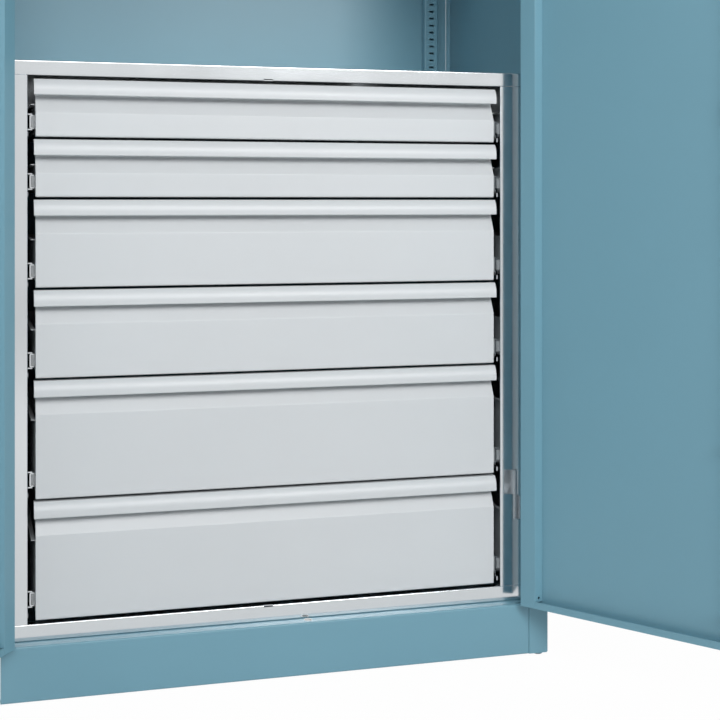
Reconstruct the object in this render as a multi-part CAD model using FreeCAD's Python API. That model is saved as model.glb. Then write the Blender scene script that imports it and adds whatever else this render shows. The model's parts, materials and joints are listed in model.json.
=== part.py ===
import FreeCAD
import Part
import math
import os

# A two-door heavy-duty cupboard with a block of six drawers in its lower part.
# X runs to the right, Y to the back and Z up, in millimetres. The origin is on
# the floor, at the middle of the cabinet body. The doors stand open.

# Overall size
overall_width = 1000.0
overall_depth = 525.0
overall_height = 1600.0
foot_lift = 4.5
plinth_height = 91.0
header_height = 40.0

# Sheet metal
body_sheet = 1.5
door_sheet = 1.0
block_sheet = 1.5
tray_sheet = 1.0
bend_radius = 1.5
frame_bend_radius = 0.3
cut_margin = 1.0

# Side panels, each folded into a door post at its front edge
post_width = 37.5
post_depth = 46.0
post_foot_radius = 4.0
rear_flange = 10.0
rear_flange_gap = 0.8
post_weld_gap = 0.1

# Floor panel, header and rear plinth
apron_return = 22.0
apron_side_gap = 0.8
header_top_return = 24.0
header_rear_return = 16.0
rear_plinth_return = 24.0
hang_slot_offset = 17.0
hang_slot_setback = 9.0
hang_slot_length = 14.0
hang_slot_width = 4.5

# Holes for fixing to a wall
wall_hole_diameter = 9.0
wall_hole_spacing = 700.0
wall_hole_drop = 70.0

# Feet
foot_plate_sheet = 4.0
foot_plate_corner = 2.0
foot_disc_diameter = 16.0
foot_inset_x = 14.1
foot_inset_y = 15.0
foot_stem_diameter = 8.0
foot_stem_clearance = 0.05
foot_stem_length = 26.0
foot_nut_height = 6.5
foot_nut_diameter = 14.0

# Doors
door_open_angle = 124.0
door_thickness = 18.0
door_side_gap = 1.5
door_centre_gap = 2.0
door_end_gap = 2.5
door_end_return = 12.3
door_return_gap = 0.8
door_lock_return = 22.0
door_rim_width = 29.9
door_web_spread = 5.9
door_web_lift = 11.2
door_web_foot = 9.0
door_web_corner = 0.15
drain_hole_diameter = 4.6
drain_hole_lift = 17.9

# Hinges
hinge_inset = 3.0
hinge_stand_off = 5.0
hinge_barrel_diameter = 9.0
hinge_pin_diameter = 5.0
hinge_pin_clearance = 0.05
hinge_height = 90.0
hinge_leaf_depth = 21.0
hinge_leaf_sheet = 1.0
hinge_pin_setback = 1.5
hinge_knuckle_gap = 0.3
hinge_end_distance = 183.5

# Lock rods and what guides them, in the right door
rod_offset = 55.6
rod_setback = 13.2
rod_diameter = 7.0
rod_travel = 14.0
rod_end_setback = 1.0
rod_wall_clearance = 1.0
guide_width = 26.0
guide_height = 14.0
guide_clearance = 0.3
guide_distances = [60.0, 330.0]
bush_setback = 15.2
bush_bore = 11.6
bush_wall = 0.8
bush_flange = 0.8
bush_depth = 14.0

# Swing handle, its case, the key cylinder and the cam that drives the rods
handle_height = 980.0
hub_diameter = 26.0
hub_height = 14.0
lever_length = 118.0
lever_width = 20.0
lever_tip_width = 15.0
lever_thickness = 9.0
lever_corner = 5.0
lever_rest_angle = 90.0
lever_gap = 3.0
handle_gap = 0.3
case_width = 34.0
case_above = 44.0
case_below = 132.0
case_thickness = 7.0
case_radius = 8.0
spindle_diameter = 10.0
spindle_clearance = 0.05
cylinder_diameter = 14.0
cylinder_clearance = 0.05
cylinder_rise = 27.0
cylinder_proud = 1.2
key_slot_width = 1.8
key_slot_length = 8.0
key_slot_depth = 3.0
cam_radius = 16.0
cam_sheet = 3.0
cam_setback = 6.2
stud_diameter = 5.0
stud_clearance = 0.6
yoke_gap = 0.3
yoke_sheet = 2.5
yoke_width = 16.0
yoke_reach = 13.0
yoke_neck = 22.0
yoke_top = 30.0
yoke_side_gap = 1.0

# Shelf and its slotted rails
rail_width = 30.7
rail_depth = 20.0
rail_side_distance = 34.0
rail_slot_pitch = 15.0
rail_slot_width = 10.0
rail_slot_height = 4.0
rail_slot_side = 11.0
first_slot_lift = 25.3
shelf_drop = 130.0
post_slot_inset = 14.0
post_slots_each_way = 6
shelf_side_gap = 3.0
shelf_front_gap = 2.0
shelf_rear_gap = 0.3
shelf_edge_height = 30.0
shelf_edge_return = 14.0
shelf_sheet = 1.25
clip_width = 9.0
clip_sheet = 3.0
clip_reach = 20.0
clip_drop = 14.0
clip_tongue = 6.0

# Drawer block frame
block_setback = 26.0
block_bottom_gap = 0.3
block_base_height = 27.4
block_base_return = 12.0
block_top_height = 24.7
block_top_return = 12.0
block_post_return = 25.0
block_post_face = 45.0
block_side_seat = 15.0
block_side_flange_gap = 1.2
block_frame_gap = 0.3
block_rear_gap = 1.0
block_top_clearance = 5.9
block_bottom_clearance = 5.8
block_tie_height = 60.0
block_tie_flange = 12.0
block_tie_setback = 2.0
latch_notch_width = 16.0
latch_notch_height = 3.0
latch_notch_offset = -12.3

# Drawer fronts, from the top one to the bottom one
drawer_pitches = [100.0, 100.0, 150.0, 150.0, 200.0, 200.0]
front_gap = 4.5
front_side_gap = 13.0
front_sheet = 1.5
front_bottom_return = 12.0
grip_depth = 15.1
grip_top = 28.0
grip_bottom = 56.0

# Handle strips on the drawer fronts
strip_overhang = 3.0
strip_height = 26.5
strip_top_setback = 1.6
strip_nose = 6.6
strip_nose_height = 4.5
strip_lip = 3.4
strip_roof = 3.0
strip_bulge = 2.6
strip_inner_setback = 4.4
strip_edge_radius = 1.4

# Drawer trays and their telescopic runners
tray_rear_gap = 27.9
tray_floor_lift = 9.0
tray_wall_lifts = [54.5, 54.5, 79.5, 79.5, 129.5, 129.5]
tray_rim = 7.0
runner_space = 14.5
runner_setback = 36.0
runner_rear_gap = 26.5
runner_lift = 26.0
runner_bar_half = 9.0
runner_bar_thickness = 6.0
runner_sheet = 2.0
runner_gap = 0.4
runner_outer_reach = 10.5
runner_corner = 0.5
runner_slot_lift = 8.5
runner_slot_height = 8.5
runner_slot_width = 10.0
runner_foot_setback = 16.0
runner_foot_lift = 1.0
runner_foot_height = 7.0
runner_foot_sheet = 1.2
runner_foot_arm = 8.0

# Positions worked out from the sizes above
front = -overall_depth / 2
back = overall_depth / 2
side = overall_width / 2
floor_top = foot_lift + plinth_height
header_bottom = overall_height - header_height
lid_bottom = overall_height - body_sheet
post_inner = side - post_width
wall_inner = side - body_sheet
back_face = back - body_sheet
door_bottom = floor_top + door_end_gap
door_top = header_bottom - door_end_gap
door_edge = post_inner - door_side_gap
door_free = door_centre_gap / 2
door_inner = front + door_thickness
hinge_x = post_inner - hinge_inset
hinge_y = front - hinge_stand_off
hinge_levels = [door_bottom + hinge_end_distance, door_top - hinge_end_distance]
rod_y = front + rod_setback
bush_y = front + bush_setback
crank_offset = rod_travel / 2
block_front = front + block_setback
block_bottom = floor_top + block_bottom_gap
block_base_top = block_bottom + block_base_height
drawers_bottom = block_base_top + block_bottom_clearance
drawers_top = drawers_bottom + sum(drawer_pitches) - front_gap
block_lintel = drawers_top + block_top_clearance
block_top = block_lintel + block_top_height
rail_face = back_face - rail_depth
rail_outer = wall_inner - rail_side_distance
rail_inner = rail_outer - rail_width
block_back = rail_face - block_rear_gap
block_half_width = post_inner - block_frame_gap
block_post_inner = post_inner - block_post_face
block_side_inner = block_post_inner + block_sheet
front_half_width = block_post_inner - front_side_gap
first_slot = floor_top + first_slot_lift
shelf_slot_number = int((header_bottom - shelf_drop - first_slot) / rail_slot_pitch)
shelf_slot_level = first_slot + shelf_slot_number * rail_slot_pitch
shelf_bottom = shelf_slot_level + rail_slot_height / 2
shelf_top = shelf_bottom + shelf_edge_height
shelf_front = front + post_depth + shelf_front_gap
shelf_back = rail_face - shelf_rear_gap
shelf_half_width = wall_inner - shelf_side_gap
tray_front = block_front + grip_depth + front_sheet
tray_rear = block_back - tray_rear_gap
tray_half_width = block_side_inner - runner_space
runner_start = block_front + runner_setback
runner_length = block_back - runner_rear_gap - runner_start
parts = {}


def vec(x, y, z):
    return FreeCAD.Vector(x, y, z)


def box(x0, x1, y0, y1, z0, z1):
    return Part.makeBox(x1 - x0, y1 - y0, z1 - z0, vec(x0, y0, z0))


def pin(diameter, x, y, z, direction, length):
    return Part.makeCylinder(diameter / 2, length, vec(x, y, z), direction)


def fuse(*shapes):
    return shapes[0].multiFuse(list(shapes[1:])).removeSplitter()


def mirrored(shape):
    return shape.mirror(vec(0, 0, 0), vec(1, 0, 0))


def keep(name, *shapes):
    # One node, as a group of its separate solids.
    parts[name] = Part.makeCompound([s for shape in shapes for s in shape.Solids])


def direction(a, b):
    length = math.dist(a, b)
    return ((b[0] - a[0]) / length, (b[1] - a[1]) / length)


def to_space(point, plane):
    u, v = point
    return {"xy": vec(u, v, 0), "yz": vec(0, u, v), "xz": vec(u, 0, v)}[plane]


def offset_path(path, distance):
    # The same open path moved to its left.
    moved = []
    for i, point in enumerate(path):
        after = direction(point, path[i + 1]) if i < len(path) - 1 else direction(path[i - 1], point)
        before = direction(path[i - 1], point) if i > 0 else after
        cosine = before[0] * after[0] + before[1] * after[1]
        scale = distance / (1 + cosine)
        moved.append((point[0] - (before[1] + after[1]) * scale,
                      point[1] + (before[0] + after[0]) * scale))
    return moved


def rounded_edges(points, radii, plane):
    # Straight edges along the points, with a tangent arc at each corner that has a radius.
    edges = []
    cursor = points[0]
    for i in range(1, len(points)):
        point = points[i]
        if i == len(points) - 1 or radii[i] <= 0:
            edges.append(Part.makeLine(to_space(cursor, plane), to_space(point, plane)))
            cursor = point
            continue
        towards = direction(point, points[i - 1])
        away = direction(point, points[i + 1])
        half = math.acos(towards[0] * away[0] + towards[1] * away[1]) / 2
        reach = radii[i] / math.tan(half)
        depth = radii[i] / math.sin(half) - radii[i]
        bisector = direction((0, 0), (towards[0] + away[0], towards[1] + away[1]))
        start = (point[0] + towards[0] * reach, point[1] + towards[1] * reach)
        crown = (point[0] + bisector[0] * depth, point[1] + bisector[1] * depth)
        end = (point[0] + away[0] * reach, point[1] + away[1] * reach)
        edges.append(Part.makeLine(to_space(cursor, plane), to_space(start, plane)))
        arc = Part.Arc(to_space(start, plane), to_space(crown, plane), to_space(end, plane))
        edges.append(arc.toShape())
        cursor = end
    return edges


def extruded(edges, plane, low, high):
    along = {"xy": vec(0, 0, 1), "yz": vec(1, 0, 0), "xz": vec(0, 1, 0)}[plane]
    face = Part.Face(Part.Wire(edges))
    face.translate(along * low)
    return face.extrude(along * (high - low))


def folded(path, sheet, plane, low, high, radius=bend_radius):
    # Sheet metal folded along an open path, with its thickness on the path's left.
    other = offset_path(path, sheet)
    radii = [0.0] * len(path)
    other_radii = [0.0] * len(path)
    for i in range(1, len(path) - 1):
        before = direction(path[i - 1], path[i])
        after = direction(path[i], path[i + 1])
        turns_left = before[0] * after[1] - before[1] * after[0] > 0
        radii[i] = radius + sheet if turns_left else radius
        other_radii[i] = radius if turns_left else radius + sheet
    edges = rounded_edges(path, radii, plane)
    edges.append(Part.makeLine(to_space(path[-1], plane), to_space(other[-1], plane)))
    edges += rounded_edges(other[::-1], other_radii[::-1], plane)
    edges.append(Part.makeLine(to_space(other[0], plane), to_space(path[0], plane)))
    return extruded(edges, plane, low, high)


def rounded_plate(u0, u1, v0, v1, radius, plane, low, high):
    start = ((u0 + u1) / 2, v0)
    points = [start, (u1, v0), (u1, v1), (u0, v1), (u0, v0), start]
    radii = [0.0] + [radius] * 4 + [0.0]
    return extruded(rounded_edges(points, radii, plane), plane, low, high)


def make_side_panel():
    # One sheet: door post folded at the front, outer wall, narrow flange at the back.
    web = front + post_depth
    path = [(wall_inner - post_weld_gap, web), (post_inner, web), (post_inner, front),
            (side, front), (side, back), (side - rear_flange, back)]
    panel = folded(path, body_sheet, "xy", foot_lift, lid_bottom)
    toe = box(side - post_foot_radius, side + cut_margin, front - cut_margin,
              back + cut_margin, foot_lift - cut_margin, foot_lift + post_foot_radius)
    rounding = Part.makeCylinder(post_foot_radius, overall_depth + 4 * cut_margin,
                                 vec(side - post_foot_radius, front - 2 * cut_margin,
                                     foot_lift + post_foot_radius), vec(0, 1, 0))
    slots = []
    slot_x = wall_inner - post_slot_inset
    for step in range(-post_slots_each_way, post_slots_each_way + 1):
        level = shelf_slot_level + step * rail_slot_pitch
        slots.append(box(slot_x - rail_slot_width / 2, slot_x + rail_slot_width / 2,
                         web - body_sheet - cut_margin, web + cut_margin,
                         level - rail_slot_height / 2, level + rail_slot_height / 2))
    return panel.cut(toe.cut(rounding)).cut(Part.makeCompound(slots))


def make_back_panel():
    half = side - rear_flange - rear_flange_gap
    panel = box(-half, half, back_face, back, floor_top - body_sheet, lid_bottom)
    level = overall_height - wall_hole_drop
    holes = [pin(wall_hole_diameter, x, back_face - cut_margin, level, vec(0, 1, 0),
                 body_sheet + 2 * cut_margin)
             for x in (-wall_hole_spacing / 2, wall_hole_spacing / 2)]
    return panel.cut(Part.makeCompound(holes))


def make_lid():
    return rounded_plate(-side, side, front, back, bend_radius + body_sheet, "xy",
                         lid_bottom, overall_height)


def bush_hole(level):
    # Through a sheet whose lower face is at this level.
    diameter = bush_bore + 2 * bush_wall
    return pin(diameter, rod_offset, bush_y, level - cut_margin, vec(0, 0, 1),
               body_sheet + 2 * cut_margin)


def make_header():
    path = [(front + header_top_return, lid_bottom), (front, lid_bottom),
            (front, header_bottom), (front + post_depth, header_bottom),
            (front + post_depth, header_bottom + header_rear_return)]
    channel = folded(path, body_sheet, "yz", -post_inner, post_inner)
    return channel.cut(bush_hole(header_bottom))


def make_floor_panel():
    # Cupboard floor, folded down at the front into the plinth and back under it.
    path = [(front + post_depth, floor_top), (front, floor_top),
            (front, foot_lift), (front + apron_return, foot_lift)]
    half = post_inner - apron_side_gap
    apron = folded(path, body_sheet, "yz", -half, half)
    rear = rounded_plate(-wall_inner, wall_inner, front + post_depth, back_face,
                         body_sheet + bend_radius, "xy", floor_top - body_sheet, floor_top)
    slot_x = post_inner - hang_slot_offset
    slot_y = front + hang_slot_setback
    run = hang_slot_length / 2 - hang_slot_width / 2
    low = floor_top - body_sheet - cut_margin
    deep = body_sheet + 2 * cut_margin
    slot = fuse(box(slot_x - run, slot_x + run, slot_y - hang_slot_width / 2,
                    slot_y + hang_slot_width / 2, low, low + deep),
                pin(hang_slot_width, slot_x - run, slot_y, low, vec(0, 0, 1), deep),
                pin(hang_slot_width, slot_x + run, slot_y, low, vec(0, 0, 1), deep))
    cuts = [bush_hole(floor_top - body_sheet), slot, mirrored(slot)]
    return fuse(apron, rear).cut(Part.makeCompound(cuts))


def make_rear_plinth():
    half = side - rear_flange - rear_flange_gap
    top = floor_top - body_sheet
    path = [(back - rear_plinth_return, foot_lift), (back, foot_lift), (back, top),
            (back - rear_plinth_return, top)]
    return folded(path, body_sheet, "yz", -half, half)


def foot_places():
    x = side - foot_inset_x
    return [(x, front + foot_inset_y), (x, back - rear_plinth_return - foot_inset_y)]


def make_foot_plates():
    # Plates that close the posts at the front and stand beside the rear plinth.
    plates = []
    x0 = post_inner + body_sheet
    half_depth = (post_depth - 2 * body_sheet) / 2
    for (x, y), middle in zip(foot_places(), (front + post_depth / 2,
                                              back - rear_plinth_return - half_depth)):
        bottom = foot_lift + post_foot_radius
        plate = rounded_plate(x0, wall_inner, middle - half_depth, middle + half_depth,
                              foot_plate_corner, "xy", bottom, bottom + foot_plate_sheet)
        hole = pin(foot_stem_diameter + 2 * foot_stem_clearance, x, y,
                   foot_lift, vec(0, 0, 1), 3 * foot_plate_sheet)
        plates.append(plate.cut(hole))
    return plates + [mirrored(p) for p in plates]


def make_feet():
    feet = []
    nut_bottom = foot_lift + post_foot_radius + foot_plate_sheet
    for x, y in foot_places():
        disc = pin(foot_disc_diameter, x, y, 0, vec(0, 0, 1), foot_lift + post_foot_radius)
        stem = pin(foot_stem_diameter, x, y, 0, vec(0, 0, 1), foot_stem_length)
        nut = pin(foot_nut_diameter, x, y, nut_bottom, vec(0, 0, 1), foot_nut_height)
        feet.append(fuse(disc, stem, nut))
    return feet + [mirrored(f) for f in feet]


def make_bushes():
    # Cups in the floor and the header that take the ends of the lock rods.
    body_diameter = bush_bore + 2 * bush_wall
    flange_diameter = body_diameter + 2 * bush_wall
    cups = []
    for level, up in ((floor_top, 1), (header_bottom, -1)):
        flange = pin(flange_diameter, rod_offset, bush_y, level, vec(0, 0, up), bush_flange)
        body = pin(body_diameter, rod_offset, bush_y, level, vec(0, 0, -up), bush_depth)
        bore = pin(bush_bore, rod_offset, bush_y, level + up * 2 * cut_margin,
                   vec(0, 0, -up), bush_depth + 2 * cut_margin - bush_wall)
        cups.append(fuse(flange, body).cut(bore))
    return cups


def make_shelf_rail():
    # Channel on the back panel, slotted over its whole height.
    path = [(rail_inner, back_face), (rail_inner, rail_face),
            (rail_outer, rail_face), (rail_outer, back_face)]
    rail = folded(path, body_sheet, "xy", floor_top, header_bottom)
    slot_x = rail_inner + rail_slot_side
    slots = []
    level = first_slot
    while level < header_bottom - first_slot_lift:
        slots.append(box(slot_x, slot_x + rail_slot_width, rail_face - cut_margin,
                         rail_face + body_sheet + cut_margin,
                         level - rail_slot_height / 2, level + rail_slot_height / 2))
        level += rail_slot_pitch
    return rail.cut(Part.makeCompound(slots))


def make_shelf():
    # Pan with its four edges folded down, and returned at the front and back.
    path = [(shelf_front + shelf_edge_return, shelf_bottom), (shelf_front, shelf_bottom),
            (shelf_front, shelf_top), (shelf_back, shelf_top), (shelf_back, shelf_bottom),
            (shelf_back - shelf_edge_return, shelf_bottom)]
    pan = folded(path[::-1], shelf_sheet, "yz", -shelf_half_width, shelf_half_width)
    wall = box(shelf_half_width - shelf_sheet, shelf_half_width, shelf_front + shelf_sheet,
               shelf_back - shelf_sheet, shelf_bottom, shelf_top - shelf_sheet / 2)
    return fuse(pan, wall, mirrored(wall))


def make_clip(x, face, inward):
    # Hook through one slot, with an arm under the shelf.
    half = clip_width / 2
    level = shelf_slot_level - rail_slot_height / 2
    reach = face + inward * clip_reach
    tongue = face - inward * clip_tongue
    arm = box(x - half, x + half, min(face, reach), max(face, reach), level,
              level + rail_slot_height)
    spine = box(x - half, x + half, min(face, face + inward * clip_sheet),
                max(face, face + inward * clip_sheet), level - clip_drop, level + clip_sheet)
    hook = box(x - half, x + half, min(face, tongue), max(face, tongue), level,
               level + clip_sheet)
    return fuse(arm, spine, hook)


def make_clips():
    clips = [make_clip(rail_inner + rail_slot_side + rail_slot_width / 2, rail_face, -1),
             make_clip(wall_inner - post_slot_inset, front + post_depth, 1)]
    return clips + [mirrored(c) for c in clips]


def latch_notch(low, high):
    half = latch_notch_width / 2
    return box(latch_notch_offset - half, latch_notch_offset + half,
               block_front - cut_margin, block_front + block_sheet + cut_margin, low, high)


def make_block_top():
    path = [(block_back, block_top), (block_front, block_top), (block_front, block_lintel),
            (block_front + block_top_return, block_lintel)]
    deck = folded(path, block_sheet, "yz", -block_half_width, block_half_width,
                  radius=frame_bend_radius)
    wide = box(-wall_inner, wall_inner, front + post_depth + block_frame_gap, block_back,
               block_top - block_sheet, block_top)
    notch = latch_notch(block_lintel - cut_margin, block_lintel + latch_notch_height)
    return fuse(deck, wide).cut(notch)


def make_block_base():
    path = [(block_front + block_side_seat, block_base_top), (block_front, block_base_top),
            (block_front, block_bottom), (block_front + block_base_return, block_bottom)]
    rail = folded(path, block_sheet, "yz", -block_half_width, block_half_width,
                  radius=frame_bend_radius)
    return rail.cut(latch_notch(block_base_top - latch_notch_height,
                                block_base_top + cut_margin))


def runner_slots():
    # Cuts beside each drawer's lower edge, for the hooks of its runners.
    start = block_front + block_side_seat
    slots = []
    for low, high in drawer_levels():
        bottom = low + runner_slot_lift
        slots.append(box(block_post_inner - cut_margin,
                         block_side_inner + block_sheet + cut_margin,
                         start, start + runner_slot_width,
                         bottom, bottom + runner_slot_height))
    return Part.makeCompound(slots)


def make_block_post():
    depth = block_front + block_post_return
    path = [(block_post_inner, depth), (block_post_inner, block_front),
            (block_half_width, block_front), (block_half_width, depth)]
    post = folded(path, block_sheet, "xy", block_base_top, block_lintel,
                  radius=frame_bend_radius)
    return post.cut(runner_slots())


def make_block_side():
    # Wall lapped behind the post's inner return, with a flange inside the post.
    seat = block_front + block_side_seat
    flange_end = block_half_width - block_sheet - block_side_flange_gap
    path = [(block_side_inner, block_back), (block_side_inner, seat), (flange_end, seat)]
    wall = folded(path, block_sheet, "xy", floor_top, block_top - block_sheet,
                  radius=frame_bend_radius)
    return wall.cut(runner_slots())


def make_block_ties():
    # Two cross members between the block's sides at the back.
    ties = []
    for level in (floor_top, block_top - block_sheet - block_tie_height):
        rear = block_back - block_tie_setback
        path = [(rear - block_tie_flange, level), (rear, level),
                (rear, level + block_tie_height)]
        ties.append(folded(path, block_sheet, "yz", -block_side_inner, block_side_inner))
    return ties


def drawer_levels():
    # Bottom and top of each drawer front, from the top drawer down.
    levels = []
    top = drawers_top
    for pitch in drawer_pitches:
        levels.append((top - pitch + front_gap, top))
        top -= pitch
    return levels


def make_drawer_front(low, high):
    y0 = block_front
    y1 = block_front + grip_depth
    slope_top = high - grip_top
    slope_bottom = high - grip_bottom
    sheet_top = high - strip_roof
    path = [(y1, sheet_top), (y1, slope_top), (y0, slope_bottom), (y0, low),
            (y0 + front_bottom_return, low)]
    half = front_half_width
    panel = folded(path, front_sheet, "yz", -half, half)
    ends = [to_space(p, "yz") for p in ((y0 + front_sheet, low + front_sheet),
                                        (y0 + front_sheet, slope_bottom), (y1, slope_top),
                                        (tray_front, slope_top),
                                        (tray_front, low + front_sheet))]
    cheek = Part.Face(Part.makePolygon(ends + [ends[0]])).extrude(vec(front_sheet, 0, 0))
    cheek.translate(vec(half - front_sheet, 0, 0))
    return fuse(panel, cheek, mirrored(cheek))


def make_handle_strip(high):
    # Curved grip strip over the recess, wider than the front panel.
    y0 = block_front
    rear = (tray_front, high)
    brow = (y0 + strip_top_setback, high)
    nose_top = (y0 - strip_nose, high - strip_height + strip_nose_height)
    nose = (y0 - strip_nose, high - strip_height)
    lip = (nose[0] + strip_lip, nose[1])
    lip_top = (lip[0], nose_top[1])
    inner = (y0 + strip_inner_setback, high - strip_roof)
    rear_low = (tray_front, high - strip_roof)
    span = direction(brow, nose_top)
    crown = ((brow[0] + nose_top[0]) / 2 + span[1] * strip_bulge,
             (brow[1] + nose_top[1]) / 2 - span[0] * strip_bulge)
    edges = [Part.makeLine(to_space(rear, "yz"), to_space(brow, "yz")),
             Part.Arc(to_space(brow, "yz"), to_space(crown, "yz"),
                      to_space(nose_top, "yz")).toShape()]
    outline = [nose_top, nose, lip, lip_top, inner, rear_low, rear]
    radii = [0.0, strip_edge_radius, strip_edge_radius, 0.0, 0.0, 0.0, 0.0]
    edges += rounded_edges(outline, radii, "yz")
    half = front_half_width + strip_overhang
    return extruded(edges, "yz", -half, half)


def make_tray(low, wall_lift):
    # Open tray, its rim turned out over the runners, with welded bars that run in them.
    floor = low + tray_floor_lift
    rim = low + wall_lift - tray_sheet
    half = tray_half_width
    path = [(-half - tray_rim, rim), (-half, rim), (-half, floor), (half, floor),
            (half, rim), (half + tray_rim, rim)]
    shell = folded(path, tray_sheet, "xz", tray_front, tray_rear)
    inner = half - tray_sheet / 2
    walls = [box(-inner, inner, y, y + tray_sheet, floor + tray_sheet / 2, rim)
             for y in (tray_front, tray_rear - tray_sheet)]
    tray = fuse(shell, *walls)
    middle = low + runner_lift
    bar = box(half, half + runner_bar_thickness, runner_start, runner_start + runner_length,
              middle - runner_bar_half, middle + runner_bar_half)
    return [tray, bar, mirrored(bar)]


def runner_channel(inner_half, x_open, x_web, low):
    # Channel open towards the tray, for one member of a telescopic runner.
    middle = low + runner_lift
    outer_half = inner_half + runner_sheet
    path = [(x_open, middle - outer_half), (x_web, middle - outer_half),
            (x_web, middle + outer_half), (x_open, middle + outer_half)]
    return folded(path, runner_sheet, "xz", runner_start, runner_start + runner_length,
                  radius=runner_corner)


def make_middle_runner(low):
    inner_half = runner_bar_half + runner_gap
    web = tray_half_width + runner_bar_thickness + runner_gap + runner_sheet
    return runner_channel(inner_half, tray_half_width + runner_gap, web, low)


def make_outer_runner(low):
    # Channel on the block's wall, with a foot that lies on the post's inner return.
    inner_half = runner_bar_half + 2 * runner_gap + runner_sheet
    channel = runner_channel(inner_half, block_side_inner - runner_outer_reach,
                             block_side_inner, low)
    x0 = block_post_inner - runner_foot_sheet
    arm_end = runner_start + runner_foot_arm
    bottom = low + runner_foot_lift
    foot = box(x0, block_post_inner, block_front + runner_foot_setback, arm_end,
               bottom, bottom + runner_foot_height)
    arm = box(x0, block_post_inner, runner_start, arm_end, bottom,
              low + runner_lift - inner_half)
    return fuse(channel, foot, arm)


def make_drawers():
    fixed = []
    for number, (low, high) in enumerate(drawer_levels(), start=1):
        keep(f"drawer_front_{number}", make_drawer_front(low, high))
        keep(f"drawer_handle_{number}", make_handle_strip(high))
        keep(f"drawer_tray_{number}", *make_tray(low, tray_wall_lifts[number - 1]))
        middle = make_middle_runner(low)
        keep(f"middle_runners_{number}", middle, mirrored(middle))
        outer = make_outer_runner(low)
        fixed += [outer, mirrored(outer)]
    keep("fixed_runners", *fixed)


def opened(shape):
    # Turns a piece of the closed right door about its hinge line.
    moved = shape.copy()
    moved.rotate(vec(hinge_x, hinge_y, 0), vec(0, 0, 1), door_open_angle)
    return moved


def make_door_skin(with_lock):
    path = [(door_free + door_lock_return, door_inner), (door_free, door_inner),
            (door_free, front), (door_edge, front), (door_edge, door_inner)]
    shell = folded(path, door_sheet, "xy", door_bottom, door_top)
    x0 = door_free + door_sheet / 2
    x1 = door_edge - door_sheet / 2
    pieces = [shell]
    for low, inner_low in ((door_bottom, door_bottom),
                           (door_top - door_sheet, door_top - door_end_return)):
        pieces.append(box(x0, x1, front + door_sheet / 2, door_inner, low, low + door_sheet))
        pieces.append(box(x0, door_edge - door_rim_width - door_return_gap,
                          door_inner - door_sheet, door_inner,
                          inner_low, inner_low + door_end_return))
    skin = fuse(*pieces)
    if not with_lock:
        return skin
    clear = rod_diameter + 2 * rod_wall_clearance
    deep = door_sheet + 2 * cut_margin
    cuts = [pin(clear, rod_offset, rod_y, door_bottom - cut_margin, vec(0, 0, 1), deep),
            pin(clear, rod_offset, rod_y, door_top + cut_margin, vec(0, 0, -1), deep),
            pin(spindle_diameter + 2 * spindle_clearance, rod_offset, front - cut_margin,
                handle_height, vec(0, 1, 0), deep)]
    notch_half = clear / 2
    for low in (door_bottom, door_top - door_end_return):
        cuts.append(box(rod_offset - notch_half, rod_offset + notch_half,
                        door_inner - door_sheet - cut_margin, rod_y + notch_half,
                        low - cut_margin, low + door_end_return + cut_margin))
    return skin.cut(Part.makeCompound(cuts))


def make_door_stiffener():
    # Rim and slanted web along the hinge edge, with a foot welded to the skin.
    seat = front + door_sheet
    rim = door_edge - door_rim_width
    heel = rim - door_web_spread
    path = [(door_edge - door_sheet, door_inner), (rim, door_inner), (heel, seat),
            (heel + door_web_foot, seat)]
    profile = folded(path, door_sheet, "xy", door_bottom + door_sheet, door_top - door_sheet,
                     radius=door_web_corner)
    cuts = []
    for low in (door_bottom, door_top - door_web_lift):
        cuts.append(box(heel - cut_margin, door_edge, seat - cut_margin / 2,
                        door_inner - door_sheet, low, low + door_web_lift))
    normal = vec(seat - door_inner, rim - heel, 0).normalize()
    middle = vec((rim + heel) / 2, (seat + door_inner) / 2, 0)
    for level in (door_bottom + drain_hole_lift, door_top - drain_hole_lift):
        start = vec(middle.x, middle.y, level) - normal * drain_hole_diameter
        cuts.append(Part.makeCylinder(drain_hole_diameter / 2, 2 * drain_hole_diameter,
                                      start, normal))
    return profile.cut(Part.makeCompound(cuts))


def make_hinge(level):
    # Lift-off hinge: the body's half below with the pin, the door's half above it.
    low = level - hinge_height / 2
    start = level + hinge_knuckle_gap
    top = level + hinge_height / 2
    rear = hinge_y + hinge_leaf_depth
    barrel = pin(hinge_barrel_diameter, hinge_x, hinge_y, low, vec(0, 0, 1), level - low)
    core = pin(hinge_pin_diameter, hinge_x, hinge_y, low, vec(0, 0, 1),
               hinge_height - hinge_pin_setback)
    leaf = box(post_inner - hinge_leaf_sheet, post_inner, hinge_y, rear, low, level)
    door_barrel = pin(hinge_barrel_diameter, hinge_x, hinge_y, start, vec(0, 0, 1), top - start)
    door_leaf = box(door_edge, door_edge + hinge_leaf_sheet, hinge_y, rear, start, top)
    bore = pin(hinge_pin_diameter + 2 * hinge_pin_clearance, hinge_x, hinge_y,
               start - cut_margin, vec(0, 0, 1), top - start + 2 * cut_margin)
    return fuse(barrel, core, leaf), fuse(door_barrel, door_leaf).cut(bore)


def make_hinges():
    fixed = []
    moving = []
    for level in hinge_levels:
        a, b = make_hinge(level)
        fixed.append(a)
        moving.append(b)
    return fixed, moving


def make_lock_case():
    half = case_width / 2
    case = rounded_plate(rod_offset - half, rod_offset + half, handle_height - case_below,
                         handle_height + case_above, case_radius, "xz",
                         front - case_thickness, front)
    outward = vec(0, 1, 0)
    start = front - case_thickness - cut_margin
    cuts = [pin(spindle_diameter + 2 * spindle_clearance, rod_offset, start,
                handle_height, outward, case_thickness + 2 * cut_margin),
            pin(cylinder_diameter + 2 * cylinder_clearance, rod_offset, start,
                handle_height + cylinder_rise, outward, case_thickness + cut_margin)]
    return case.cut(Part.makeCompound(cuts))


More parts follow.
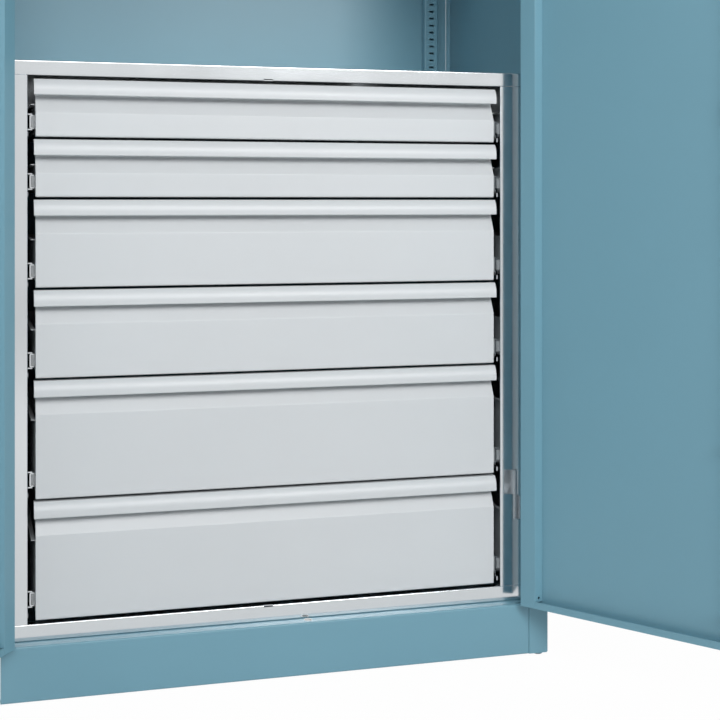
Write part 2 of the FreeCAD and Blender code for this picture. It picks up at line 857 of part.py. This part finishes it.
def make_swing_handle():
    # Hub, square-ended lever hanging down and the spindle through the door.
    hub_back = front - case_thickness - handle_gap
    hub = pin(hub_diameter, rod_offset, hub_back, handle_height, vec(0, -1, 0), hub_height)
    lever_back = front - case_thickness - lever_gap
    lever_front = lever_back - lever_thickness
    half = lever_width / 2
    tip = lever_tip_width / 2
    low = handle_height - lever_length
    start = (rod_offset, low)
    outline = [start, (rod_offset + tip, low), (rod_offset + half, handle_height),
               (rod_offset - half, handle_height), (rod_offset - tip, low), start]
    radii = [0.0, lever_corner, 0.0, 0.0, lever_corner, 0.0]
    lever = extruded(rounded_edges(outline, radii, "xz"), "xz", lever_front, lever_back)
    spindle = pin(spindle_diameter, rod_offset, hub_back, handle_height, vec(0, 1, 0),
                  front + cam_setback + cam_sheet - hub_back)
    return fuse(hub, lever, spindle)


def make_key_cylinder():
    top = front - case_thickness - cylinder_proud
    core = pin(cylinder_diameter, rod_offset, top, handle_height + cylinder_rise,
               vec(0, 1, 0), front - top)
    half = key_slot_width / 2
    slot = box(rod_offset - half, rod_offset + half, top - cut_margin, top + key_slot_depth,
               handle_height + cylinder_rise - key_slot_length / 2,
               handle_height + cylinder_rise + key_slot_length / 2)
    return core.cut(slot)


def make_cam():
    # Disc on the spindle with two studs, shown with the rods drawn in.
    y0 = front + cam_setback
    disc = pin(2 * cam_radius, rod_offset, y0, handle_height, vec(0, 1, 0), cam_sheet)
    bore = pin(spindle_diameter, rod_offset, y0 - cut_margin, handle_height, vec(0, 1, 0),
               cam_sheet + 2 * cut_margin)
    reach = cam_sheet + yoke_gap + yoke_sheet
    studs = [pin(stud_diameter, rod_offset + s * crank_offset, y0,
                 handle_height + s * crank_offset, vec(0, 1, 0), reach) for s in (-1, 1)]
    return fuse(disc.cut(bore), *studs)


def make_rod(up):
    # Round rod with a flat yoke that one stud of the cam drives.
    y0 = front + cam_setback + cam_sheet + yoke_gap
    y1 = y0 + yoke_sheet
    slot_half = stud_diameter / 2 + stud_clearance
    crank_max = math.hypot(crank_offset, crank_offset)
    end = door_top - rod_end_setback if up > 0 else door_bottom + rod_end_setback

    def plate(x_near, x_far, z_near, z_far, ya, yb):
        xs = sorted((rod_offset - up * x_near, rod_offset - up * x_far))
        zs = sorted((handle_height + up * z_near, handle_height + up * z_far))
        return box(xs[0], xs[1], ya, yb, zs[0], zs[1])

    far = yoke_side_gap + yoke_width
    arm = plate(yoke_side_gap, far, -yoke_reach, yoke_top, y0, y1)
    neck = plate(-rod_diameter / 2, far, yoke_neck, yoke_top, y0, y1)
    slot = plate(crank_offset - slot_half, crank_max + slot_half, -crank_offset - slot_half,
                 -crank_offset + slot_half, y0 - cut_margin, y1 + cut_margin)
    bottom = handle_height + up * yoke_neck
    rod = pin(rod_diameter, rod_offset, rod_y, bottom, vec(0, 0, up), abs(end - bottom))
    return fuse(arm.cut(slot), neck, rod)


def make_rod_guides():
    guides = []
    half = guide_width / 2
    levels = []
    for distance in guide_distances:
        levels += [door_bottom + distance, door_top - distance]
    for level in levels:
        block = box(rod_offset - half, rod_offset + half, front + door_sheet,
                    door_inner - door_sheet / 2, level - guide_height / 2,
                    level + guide_height / 2)
        bore = pin(rod_diameter + 2 * guide_clearance, rod_offset, rod_y,
                   level - guide_height, vec(0, 0, 1), 2 * guide_height)
        guides.append(block.cut(bore))
    return guides


def make_doors():
    stiffener = opened(make_door_stiffener())
    keep("door_skin_right", opened(make_door_skin(True)))
    keep("door_skin_left", mirrored(opened(make_door_skin(False))))
    keep("door_stiffener_right", stiffener)
    keep("door_stiffener_left", mirrored(stiffener))
    fixed, moving = make_hinges()
    moving = [opened(m) for m in moving]
    keep("fixed_hinge_leaves", *fixed, *[mirrored(f) for f in fixed])
    keep("door_hinge_leaves_right", *moving)
    keep("door_hinge_leaves_left", *[mirrored(m) for m in moving])


def make_lock():
    handle = make_swing_handle()
    handle.rotate(vec(rod_offset, front, handle_height), vec(0, -1, 0),
                  lever_rest_angle)
    keep("lock_case", opened(make_lock_case()))
    keep("swing_handle", opened(handle))
    keep("key_cylinder", opened(make_key_cylinder()))
    keep("rod_cam", opened(make_cam()))
    keep("lock_rod_upper", opened(make_rod(1)))
    keep("lock_rod_lower", opened(make_rod(-1)))
    keep("rod_guides", *[opened(g) for g in make_rod_guides()])


def make_body():
    panel = make_side_panel()
    keep("side_panel_right", panel)
    keep("side_panel_left", mirrored(panel))
    keep("back_panel", make_back_panel())
    keep("top_panel", make_lid())
    keep("door_header", make_header())
    keep("floor_panel", make_floor_panel())
    keep("rear_plinth", make_rear_plinth())
    keep("foot_plates", *make_foot_plates())
    keep("levelling_feet", *make_feet())
    keep("rod_bushes", *make_bushes())
    rail = make_shelf_rail()
    keep("shelf_rails", rail, mirrored(rail))
    keep("shelf", make_shelf())
    keep("shelf_clips", *make_clips())


def make_block():
    post = make_block_post()
    wall = make_block_side()
    keep("block_top_panel", make_block_top())
    keep("block_base_rail", make_block_base())
    keep("block_post_right", post)
    keep("block_post_left", mirrored(post))
    keep("block_side_right", wall)
    keep("block_side_left", mirrored(wall))
    keep("block_rear_ties", *make_block_ties())


def main():
    make_body()
    make_block()
    make_drawers()
    make_doors()
    make_lock()
    os.makedirs("parts", exist_ok=True)
    for name, shape in parts.items():
        shape.exportStep(f"parts/{name}.step")
    print(len(parts), "nodes")


main()
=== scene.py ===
import bpy
import bmesh
import json
import math
from mathutils import Matrix, Vector


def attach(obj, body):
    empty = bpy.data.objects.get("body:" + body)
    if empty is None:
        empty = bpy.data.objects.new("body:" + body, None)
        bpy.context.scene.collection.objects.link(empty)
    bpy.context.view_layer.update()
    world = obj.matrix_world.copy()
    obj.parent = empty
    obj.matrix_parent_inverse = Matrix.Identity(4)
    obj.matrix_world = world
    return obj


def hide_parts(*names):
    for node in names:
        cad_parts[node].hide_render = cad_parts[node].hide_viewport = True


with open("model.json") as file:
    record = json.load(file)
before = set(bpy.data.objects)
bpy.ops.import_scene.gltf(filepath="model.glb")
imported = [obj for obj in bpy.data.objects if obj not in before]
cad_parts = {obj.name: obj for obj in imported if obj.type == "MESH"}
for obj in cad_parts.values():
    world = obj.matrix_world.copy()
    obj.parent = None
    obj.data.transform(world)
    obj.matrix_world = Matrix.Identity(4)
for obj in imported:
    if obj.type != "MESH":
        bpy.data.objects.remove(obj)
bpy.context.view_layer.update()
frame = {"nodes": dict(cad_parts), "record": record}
NODES = frame["nodes"]

# Camera, found by fitting the photo: a level look at the cupboard, turned 16 degrees
CAMERA_PLACE = (-0.5177, -2.5738, 0.8205)
CAMERA_YAW = math.radians(16.0)
CAMERA_LENS = 68.97
CAMERA_SENSOR = 36.0
CAMERA_SHIFT_Y = -0.2193
CAMERA_NEAR = 0.05

# Finishes, as colours in linear light, and how rough each one is
BLUE_COAT = (0.174, 0.359, 0.447)
GREY_COAT = (0.652, 0.674, 0.690)
ZINC = (0.650, 0.680, 0.700)
BLACK_PLASTIC = (0.018, 0.018, 0.020)
WHITE_PLASTIC = (0.80, 0.80, 0.79)
CHROME = (0.80, 0.80, 0.81)
COAT_ROUGHNESS = 0.36
ZINC_ROUGHNESS = 0.12
BLACK_ROUGHNESS = 0.50
WHITE_ROUGHNESS = 0.35
CHROME_ROUGHNESS = 0.10

# The range of a noise that is spread over a tone or a gloss
NOISE_LOW = 0.3
NOISE_HIGH = 0.7

# The right door's hinge line, and its turn from closed to the photo's pose
HINGE_LINE = Vector((0.4595, -0.2675, 0.0))
DOOR_ANGLE = math.radians(124.0)
DOOR_TURN = (Matrix.Translation(HINGE_LINE) @ Matrix.Rotation(DOOR_ANGLE, 4, "Z")
             @ Matrix.Translation(-HINGE_LINE))
DOOR_BACK = DOOR_TURN.inverted()

# Places on the right door, while it is closed
SPINDLE_X = 0.0556
SPINDLE_Z = 0.980
GUIDE_LEVELS = (0.158, 0.428, 1.2275, 1.4975)
SCREW_OFFSET = 0.0090
SCREW_RADIUS = 0.0026
SCREW_RISE = 0.0013

# The swing handle
HUB_RADIUS = 0.0130
HUB_HEIGHT = 0.0140
HUB_ROUNDING = 0.0022
SPINDLE_RADIUS = 0.0049
SPINDLE_START = 0.0100
ARM_START = 0.004
ARM_SETBACK = 0.0022
ARM_THICKNESS = 0.0090
ARM_HALF_WIDTH = 0.0100
ARM_CUTS = 9
ARM_TAPER = 0.25
ARM_WAIST = 0.0011
ARM_WAIST_SPREAD = 1.25
ARM_TIP_ROUNDING = 0.0055
ARM_RIM_START = 0.0135
ARM_RIM_ROUNDING = 0.0019

# The lock's escutcheon, and the ring round its key cylinder as radii and heights
CASE_CORNER = 0.0080
CASE_RIM = 0.0022
CASE_BORDER = 0.0016
CASE_STEP = 0.0008
COLLAR_PROFILE = [(0.00735, 0.0012), (0.00735, -0.0008), (0.0085, -0.0012),
                  (0.0098, -0.0010), (0.0104, -0.0004), (0.0104, 0.0012)]
COLLAR_STEPS = 56

# The studio: white surroundings, a floor that keeps a trace of shadow, and soft lamps
WORLD_AMBIENT = 0.12
WORLD_MIRRORED = 0.90
FLOOR_COLOUR = (0.86, 0.86, 0.86)
FLOOR_SEEN = 0.98
FLOOR_MIRRORED = 0.76
FLOOR_HALF_SIZE = 12.0
LAMP_AIM = Vector((0.0, -0.2, 0.7))
LAMP_DISTANCE = 4.5


def put_camera():
    data = bpy.data.cameras.new("camera")
    data.lens = CAMERA_LENS
    data.sensor_width = CAMERA_SENSOR
    data.shift_y = CAMERA_SHIFT_Y
    data.clip_start = CAMERA_NEAR
    camera = bpy.data.objects.new("camera", data)
    camera.location = CAMERA_PLACE
    camera.rotation_euler = (math.pi / 2, 0.0, -CAMERA_YAW)
    bpy.context.scene.collection.objects.link(camera)
    bpy.context.scene.camera = camera


class Finish:
    """A material being built: its node tree, with short calls for the nodes it needs."""

    def __init__(self, name):
        self.material = bpy.data.materials.new(name)
        self.material.use_nodes = True
        self.tree = self.material.node_tree
        self.shader = self.tree.nodes["Principled BSDF"]
        self.place = self.tree.nodes.new("ShaderNodeTexCoord").outputs["Object"]

    def link(self, output, socket):
        self.tree.links.new(output, socket)

    def noise(self, scale, detail, stretch=(1.0, 1.0, 1.0)):
        mapping = self.tree.nodes.new("ShaderNodeMapping")
        mapping.inputs["Scale"].default_value = stretch
        self.link(self.place, mapping.inputs["Vector"])
        node = self.tree.nodes.new("ShaderNodeTexNoise")
        node.inputs["Scale"].default_value = scale
        node.inputs["Detail"].default_value = detail
        self.link(mapping.outputs["Vector"], node.inputs["Vector"])
        return node.outputs["Fac"]

    def spread(self, value, low, high):
        node = self.tree.nodes.new("ShaderNodeMapRange")
        node.inputs["From Min"].default_value = NOISE_LOW
        node.inputs["From Max"].default_value = NOISE_HIGH
        node.inputs["To Min"].default_value = low
        node.inputs["To Max"].default_value = high
        self.link(value, node.inputs["Value"])
        return node.outputs["Result"]

    def tint(self, value, dark, light):
        node = self.tree.nodes.new("ShaderNodeValToRGB")
        node.color_ramp.elements[0].position = NOISE_LOW
        node.color_ramp.elements[1].position = NOISE_HIGH
        node.color_ramp.elements[0].color = (*dark, 1.0)
        node.color_ramp.elements[1].color = (*light, 1.0)
        self.link(value, node.inputs["Fac"])
        return node.outputs["Color"]

    def bump(self, height, strength, distance, below=None):
        node = self.tree.nodes.new("ShaderNodeBump")
        node.inputs["Strength"].default_value = strength
        node.inputs["Distance"].default_value = distance
        self.link(height, node.inputs["Height"])
        if below is not None:
            self.link(below, node.inputs["Normal"])
        return node.outputs["Normal"]


def shade(colour, factor):
    return tuple(min(1.0, c * factor) for c in colour)


def powder_coat(name, colour, roughness):
    """Stoved powder: a fine orange peel, with a slow drift in its tone and gloss."""
    finish = Finish(name)
    drift = finish.noise(3.0, 3.0)
    peel = finish.noise(420.0, 1.5)
    grain = finish.noise(1100.0, 2.0)
    finish.link(finish.tint(drift, shade(colour, 0.985), shade(colour, 1.015)),
                finish.shader.inputs["Base Color"])
    finish.link(finish.spread(grain, roughness - 0.03, roughness + 0.03),
                finish.shader.inputs["Roughness"])
    coarse = finish.bump(peel, 0.10, 0.00012)
    finish.link(finish.bump(grain, 0.06, 0.00006, coarse), finish.shader.inputs["Normal"])
    return finish.material


def zinc_plate(name, colour, roughness):
    """Bright zinc on rolled sheet: a soft mirror with faint streaks."""
    finish = Finish(name)
    cloud = finish.noise(9.0, 3.0)
    streak = finish.noise(260.0, 2.0, (0.05, 1.0, 1.0))
    finish.shader.inputs["Metallic"].default_value = 1.0
    finish.link(finish.tint(cloud, shade(colour, 0.985), shade(colour, 1.015)),
                finish.shader.inputs["Base Color"])
    finish.link(finish.spread(cloud, roughness - 0.01, roughness + 0.02),
                finish.shader.inputs["Roughness"])
    finish.link(finish.bump(streak, 0.02, 0.00008), finish.shader.inputs["Normal"])
    return finish.material


def moulded_plastic(name, colour, roughness):
    """Moulded plastic with a spark-eroded grain."""
    finish = Finish(name)
    grain = finish.noise(1400.0, 2.0)
    drift = finish.noise(40.0, 2.0)
    finish.link(finish.tint(drift, shade(colour, 0.95), shade(colour, 1.05)),
                finish.shader.inputs["Base Color"])
    finish.link(finish.spread(grain, roughness - 0.05, roughness + 0.05),
                finish.shader.inputs["Roughness"])
    finish.link(finish.bump(grain, 0.15, 0.0001), finish.shader.inputs["Normal"])
    return finish.material


def polished_metal(name, colour, roughness):
    """Turned and plated metal, with a trace of the tool's rings."""
    finish = Finish(name)
    rings = finish.noise(700.0, 1.0)
    finish.shader.inputs["Metallic"].default_value = 1.0
    finish.link(finish.tint(rings, shade(colour, 0.96), colour),
                finish.shader.inputs["Base Color"])
    finish.link(finish.spread(rings, roughness - 0.02, roughness + 0.03),
                finish.shader.inputs["Roughness"])
    return finish.material


def make_finishes():
    return {
        "body_paint": powder_coat("blue_powder_coat", BLUE_COAT, COAT_ROUGHNESS),
        "drawer_paint": powder_coat("grey_powder_coat", GREY_COAT, COAT_ROUGHNESS),
        "zinc_plate": zinc_plate("bright_zinc", ZINC, ZINC_ROUGHNESS),
        "black_plastic": moulded_plastic("black_nylon", BLACK_PLASTIC, BLACK_ROUGHNESS),
        "white_plastic": moulded_plastic("white_nylon", WHITE_PLASTIC, WHITE_ROUGHNESS),
        "cylinder_chrome": polished_metal("chrome_plate", CHROME, CHROME_ROUGHNESS),
    }


def finish_nodes(finishes):
    for part in frame["record"]["subparts"]:
        node = NODES[part["node"]]
        node.data.materials.clear()
        node.data.materials.append(finishes[part["material_slot"]])


def closed_box(node):
    """The lowest and highest corners of a door node with its door turned back to closed."""
    points = [DOOR_BACK @ v.co for v in NODES[node].data.vertices]
    low = Vector(min(p[i] for p in points) for i in range(3))
    high = Vector(max(p[i] for p in points) for i in range(3))
    return low, high


def block(form, low, high):
    """Adds a box between two corners and gives back its vertices."""
    low, high = Vector(low), Vector(high)
    made = bmesh.ops.create_cube(form, size=1.0)["verts"]
    bmesh.ops.scale(form, vec=high - low, verts=made)
    bmesh.ops.translate(form, vec=(low + high) / 2, verts=made)
    return made


def edges_between(form, verts, test):
    chosen = set(verts)
    return [e for e in form.edges
            if e.verts[0] in chosen and e.verts[1] in chosen and test(e)]


def runs_along(axis):
    return lambda e: abs((e.verts[0].co - e.verts[1].co).normalized()[axis]) > 0.999


def lies_at_y(level):
    return lambda e: all(abs(v.co.y - level) < 1e-5 for v in e.verts)


def rounded(form, edges, radius, segments):
    bmesh.ops.bevel(form, geom=edges, offset=radius, segments=segments, profile=0.5,
                    affect="EDGES", material=-1, clamp_overlap=True)


def turned(form, x, z, radius, start, end, segments):
    """Adds a closed cylinder that runs along Y and gives back its vertices."""
    made = bmesh.ops.create_cone(form, cap_ends=True, segments=segments, radius1=radius,
                                 radius2=radius, depth=end - start)["verts"]
    turn = Matrix.Rotation(math.radians(90.0), 4, "X")
    place = Matrix.Translation((x, (start + end) / 2, z))
    bmesh.ops.transform(form, matrix=place @ turn, verts=made)
    return made


def make_piece(name, form, finish, body, smooth=40.0):
    """Turns a form made on the closed door into a piece that rides on a body."""
    bmesh.ops.transform(form, matrix=DOOR_TURN, verts=form.verts)
    bmesh.ops.recalc_face_normals(form, faces=form.faces)
    mesh = bpy.data.meshes.new(name)
    form.to_mesh(mesh)
    form.free()
    piece = bpy.data.objects.new(name, mesh)
    bpy.context.scene.collection.objects.link(piece)
    mesh.materials.append(finish)
    mesh.shade_smooth()
    mesh.set_sharp_from_angle(angle=math.radians(smooth))
    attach(piece, body)
    return piece


def make_arm(form, low, high):
    """The lever itself, tapered to its tip and hollowed along its inner side."""
    arm = block(form, (SPINDLE_X + ARM_START, low.y + ARM_SETBACK, SPINDLE_Z - ARM_HALF_WIDTH),
                (high.x, low.y + ARM_SETBACK + ARM_THICKNESS, SPINDLE_Z + ARM_HALF_WIDTH))
    long_edges = edges_between(form, arm, runs_along(0))
    cut = bmesh.ops.subdivide_edges(form, edges=long_edges, cuts=ARM_CUTS, use_grid_fill=True)
    arm = list({v for v in arm if v.is_valid}
               | {g for g in cut["geom"] if isinstance(g, bmesh.types.BMVert)})
    for vert in arm:
        along = (vert.co.x - SPINDLE_X) / (high.x - SPINDLE_X)
        vert.co.z = SPINDLE_Z + (vert.co.z - SPINDLE_Z) * (1.0 - ARM_TAPER * along)
        if vert.co.y > low.y + ARM_SETBACK + ARM_THICKNESS / 2:
            vert.co.y -= ARM_WAIST * math.sin(math.pi * min(1.0, along * ARM_WAIST_SPREAD))
    corners = edges_between(form, arm, runs_along(1))
    tip = [e for e in corners if e.verts[0].co.x > high.x - 0.001]
    rounded(form, tip, ARM_TIP_ROUNDING, 6)


def make_lever(finishes):
    """The swing handle: a turned hub, its lever, and the spindle."""
    low, high = closed_box("swing_handle")
    form = bmesh.new()
    hub = turned(form, SPINDLE_X, SPINDLE_Z, HUB_RADIUS, low.y, low.y + HUB_HEIGHT, 56)
    rounded(form, edges_between(form, hub, lies_at_y(low.y)), HUB_ROUNDING, 5)
    turned(form, SPINDLE_X, SPINDLE_Z, SPINDLE_RADIUS, low.y + SPINDLE_START, high.y, 32)
    make_arm(form, low, high)
    outer = [v for v in form.verts if v.co.x > SPINDLE_X + ARM_RIM_START]
    rims = edges_between(form, outer, lambda e: e.calc_face_angle(0.0) > math.radians(50.0))
    rounded(form, rims, ARM_RIM_ROUNDING, 4)
    lever = make_piece("swing_lever", form, finishes["black_plastic"], "handle",
                       smooth=55.0)
    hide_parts("swing_handle")


def outer_face(form):
    return min(form.faces, key=lambda f: f.calc_center_median().y)


def make_escutcheon(finishes):
    """The lock's face: a moulded plate with a soft rim and a shallow field."""
    low, high = closed_box("lock_case")
    form = bmesh.new()
    plate = block(form, low, high)
    rounded(form, edges_between(form, plate, runs_along(1)), CASE_CORNER, 10)
    rounded(form, list(outer_face(form).edges), CASE_RIM, 4)
    field = outer_face(form)
    bmesh.ops.inset_region(form, faces=[field], thickness=CASE_BORDER, use_even_offset=True)
    bmesh.ops.inset_region(form, faces=[field], thickness=CASE_STEP, depth=-CASE_STEP,
                           use_even_offset=True)
    case = make_piece("lock_escutcheon", form, finishes["black_plastic"], "door_right",
                      smooth=50.0)
    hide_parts("lock_case")


def make_collar(finishes):
    """A turned ring round the key cylinder."""
    low, high = closed_box("key_cylinder")
    middle_x = (low.x + high.x) / 2
    middle_z = (low.z + high.z) / 2
    seat = closed_box("lock_case")[0].y
    form = bmesh.new()
    ring = [form.verts.new((middle_x + r, seat + y, middle_z)) for r, y in COLLAR_PROFILE]
    edges = [form.edges.new((ring[i], ring[(i + 1) % len(ring)])) for i in range(len(ring))]
    bmesh.ops.spin(form, geom=ring + edges, cent=(middle_x, seat, middle_z),
                   axis=(0.0, 1.0, 0.0), angle=2 * math.pi, steps=COLLAR_STEPS,
                   use_merge=True)
    bmesh.ops.remove_doubles(form, verts=form.verts, dist=1e-6)
    make_piece("cylinder_collar", form, finishes["cylinder_chrome"], "door_right")


def add_screw(form, x, seat, z):
    """A low dome head with a round driving recess, standing on a plane across Y."""
    top = seat + SCREW_RISE
    made = turned(form, x, z, SCREW_RADIUS, seat, top, 24)
    rounded(form, edges_between(form, made, lies_at_y(top)), SCREW_RISE * 0.6, 3)
    middle = Vector((x, top, z))
    face = min(form.faces, key=lambda f: (f.calc_center_median() - middle).length)
    bmesh.ops.inset_region(form, faces=[face], thickness=SCREW_RADIUS * 0.22,
                           use_even_offset=True)
    bmesh.ops.inset_region(form, faces=[face], thickness=SCREW_RADIUS * 0.05,
                           depth=-SCREW_RISE * 0.5, use_even_offset=True)


def make_guide_screws(finishes):
    """Two screws through each of the white rod guides."""
    seat = closed_box("rod_guides")[1].y
    form = bmesh.new()
    for level in GUIDE_LEVELS:
        for offset in (-SCREW_OFFSET, SCREW_OFFSET):
            add_screw(form, SPINDLE_X + offset, seat, level)
    make_piece("guide_screws", form, finishes["zinc_plate"], "door_right")


def seen_and_mirrored(tree):
    """Two factors: 1 for what the camera sees directly, and 1 for what is mirrored."""
    path = tree.nodes.new("ShaderNodeLightPath")
    mirrored = tree.nodes.new("ShaderNodeMath")
    mirrored.operation = "MAXIMUM"
    tree.links.new(path.outputs["Is Glossy Ray"], mirrored.inputs[0])
    tree.links.new(path.outputs["Is Transmission Ray"], mirrored.inputs[1])
    return path.outputs["Is Camera Ray"], mirrored.outputs["Value"]


def light_world():
    world = bpy.data.worlds.new("studio")
    bpy.context.scene.world = world
    world.use_nodes = True
    tree = world.node_tree
    background = tree.nodes["Background"]
    background.inputs["Color"].default_value = (1.0, 1.0, 1.0, 1.0)
    seen, mirrored = seen_and_mirrored(tree)
    level = tree.nodes.new("ShaderNodeMapRange")
    level.inputs["To Min"].default_value = WORLD_AMBIENT
    level.inputs["To Max"].default_value = WORLD_MIRRORED
    tree.links.new(mirrored, level.inputs["Value"])
    strength = tree.nodes.new("ShaderNodeMath")
    strength.operation = "MAXIMUM"
    tree.links.new(seen, strength.inputs[0])
    tree.links.new(level.outputs["Result"], strength.inputs[1])
    tree.links.new(strength.outputs["Value"], background.inputs["Strength"])


def floor_material():
    """White where it is seen or mirrored, and matte for all other light."""
    material = bpy.data.materials.new("studio_white")
    material.use_nodes = True
    tree = material.node_tree
    tree.nodes.remove(tree.nodes["Principled BSDF"])
    matte = tree.nodes.new("ShaderNodeBsdfDiffuse")
    matte.inputs["Color"].default_value = (*FLOOR_COLOUR, 1.0)
    glow = tree.nodes.new("ShaderNodeEmission")
    seen, mirrored = seen_and_mirrored(tree)
    lowered = tree.nodes.new("ShaderNodeMath")
    lowered.operation = "MULTIPLY"
    lowered.inputs[1].default_value = FLOOR_MIRRORED
    tree.links.new(mirrored, lowered.inputs[0])
    amount = tree.nodes.new("ShaderNodeMath")
    amount.operation = "MULTIPLY_ADD"
    amount.inputs[1].default_value = FLOOR_SEEN
    tree.links.new(seen, amount.inputs[0])
    tree.links.new(lowered.outputs["Value"], amount.inputs[2])
    mix = tree.nodes.new("ShaderNodeMixShader")
    tree.links.new(amount.outputs["Value"], mix.inputs["Fac"])
    tree.links.new(matte.outputs["BSDF"], mix.inputs[1])
    tree.links.new(glow.outputs["Emission"], mix.inputs[2])
    tree.links.new(mix.outputs["Shader"], tree.nodes["Material Output"].inputs["Surface"])
    return material


def lay_floor():
    mesh = bpy.data.meshes.new("studio_floor")
    form = bmesh.new()
    bmesh.ops.create_grid(form, x_segments=1, y_segments=1, size=FLOOR_HALF_SIZE)
    form.to_mesh(mesh)
    form.free()
    floor = bpy.data.objects.new("studio_floor", mesh)
    bpy.context.scene.collection.objects.link(floor)
    mesh.materials.append(floor_material())


def hang_lamp(name, azimuth, elevation, size, power):
    """A square lamp that faces the cupboard; azimuth is to the right of straight ahead."""
    data = bpy.data.lights.new(name, "AREA")
    data.shape = "SQUARE"
    data.size = size
    data.energy = power
    lamp = bpy.data.objects.new(name, data)
    around = math.radians(azimuth)
    up = math.radians(elevation)
    away = Vector((math.sin(around) * math.cos(up), -math.cos(around) * math.cos(up),
                   math.sin(up)))
    lamp.location = LAMP_AIM + away * LAMP_DISTANCE
    lamp.rotation_euler = (-away).to_track_quat("-Z", "Y").to_euler()
    bpy.context.scene.collection.objects.link(lamp)


def light_studio():
    hang_lamp("key_softbox", azimuth=17.0, elevation=22.0, size=1.2, power=60.0)
    hang_lamp("front_softbox", azimuth=-5.0, elevation=30.0, size=2.0, power=70.0)
    hang_lamp("left_softbox", azimuth=-45.0, elevation=20.0, size=2.5, power=27.0)
    hang_lamp("rear_left_softbox", azimuth=-140.0, elevation=35.0, size=2.5, power=70.0)
    hang_lamp("rear_right_softbox", azimuth=140.0, elevation=35.0, size=2.5, power=70.0)


put_camera()
light_world()
lay_floor()
light_studio()
coats = make_finishes()
finish_nodes(coats)
make_lever(coats)
make_escutcheon(coats)
make_collar(coats)
make_guide_screws(coats)
bpy.context.scene.view_settings.view_transform = "Standard"
